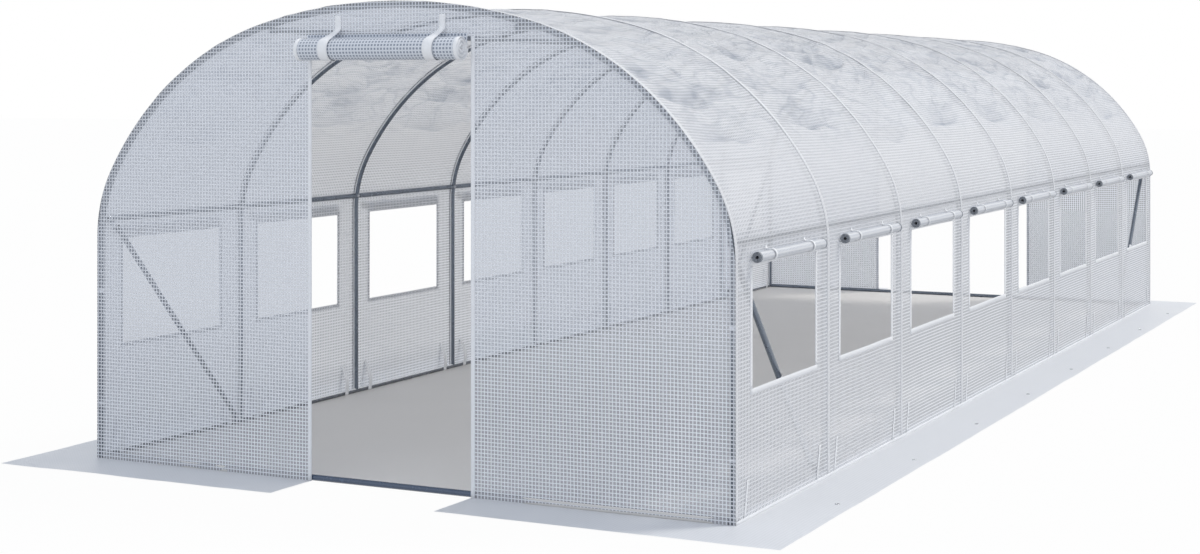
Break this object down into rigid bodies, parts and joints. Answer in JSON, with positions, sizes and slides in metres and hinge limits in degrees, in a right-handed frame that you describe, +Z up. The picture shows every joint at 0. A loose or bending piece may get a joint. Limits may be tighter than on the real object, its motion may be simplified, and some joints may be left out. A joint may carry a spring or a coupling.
{
  "type": "polytunnel greenhouse",
  "caption": "Walk-in hooped polytunnel greenhouse: grey tube frame, gridded translucent film cover with ground skirt, roll-up doors at both ends and roll-up windows along both walls.",
  "frame": {"origin": "middle of the tunnel's footprint, at ground level", "axes": "+X across the tunnel to the right, +Y along the tunnel from the front end to the rear end, +Z up"},
  "size_m": [3.55, 8.566, 1.9559],
  "materials": {
    "tube": "grey galvanised tube, satin",
    "cover": "translucent white film with a woven reinforcing grid",
    "skirt": "plain white film lying on the ground",
    "strap": "white webbing and folded hem",
    "ground_sheet": "grey ground sheet, matt"
  },
  "bodies": {
    "root": {"hoop_1": "tube", "hoop_2": "tube", "hoop_3": "tube", "hoop_4": "tube", "hoop_5": "tube", "hoop_6": "tube", "hoop_7": "tube", "hoop_8": "tube", "hoop_9": "tube", "left_ground_rail": "tube", "right_ground_rail": "tube", "front_sill_bar": "tube", "rear_sill_bar": "tube", "left_shoulder_purlin": "tube", "right_shoulder_purlin": "tube", "left_upper_purlin": "tube", "right_upper_purlin": "tube", "front_left_brace": "tube", "front_right_brace": "tube", "rear_left_brace": "tube", "rear_right_brace": "tube", "left_wall_cover": "cover", "right_wall_cover": "cover", "left_roof_cover": "cover", "right_roof_cover": "cover", "crown_cover": "cover", "front_left_panel": "cover", "front_right_panel": "cover", "front_header_panel": "cover", "rear_left_panel": "cover", "rear_right_panel": "cover", "rear_header_panel": "cover", "left_skirt": "skirt", "right_skirt": "skirt", "front_skirt": "skirt", "rear_skirt": "skirt", "front_door_roll": "cover", "rear_door_roll": "cover", "left_window_rolls": "cover", "right_window_rolls": "cover", "front_door_straps": "strap", "rear_door_straps": "strap", "front_door_hems": "strap", "rear_door_hems": "strap", "left_window_ties": "strap", "right_window_ties": "strap", "left_window_hems": "strap", "right_window_hems": "strap", "left_cover_ties": "strap", "right_cover_ties": "strap", "ground_sheet": "ground_sheet"}
  },
  "joints": []
}
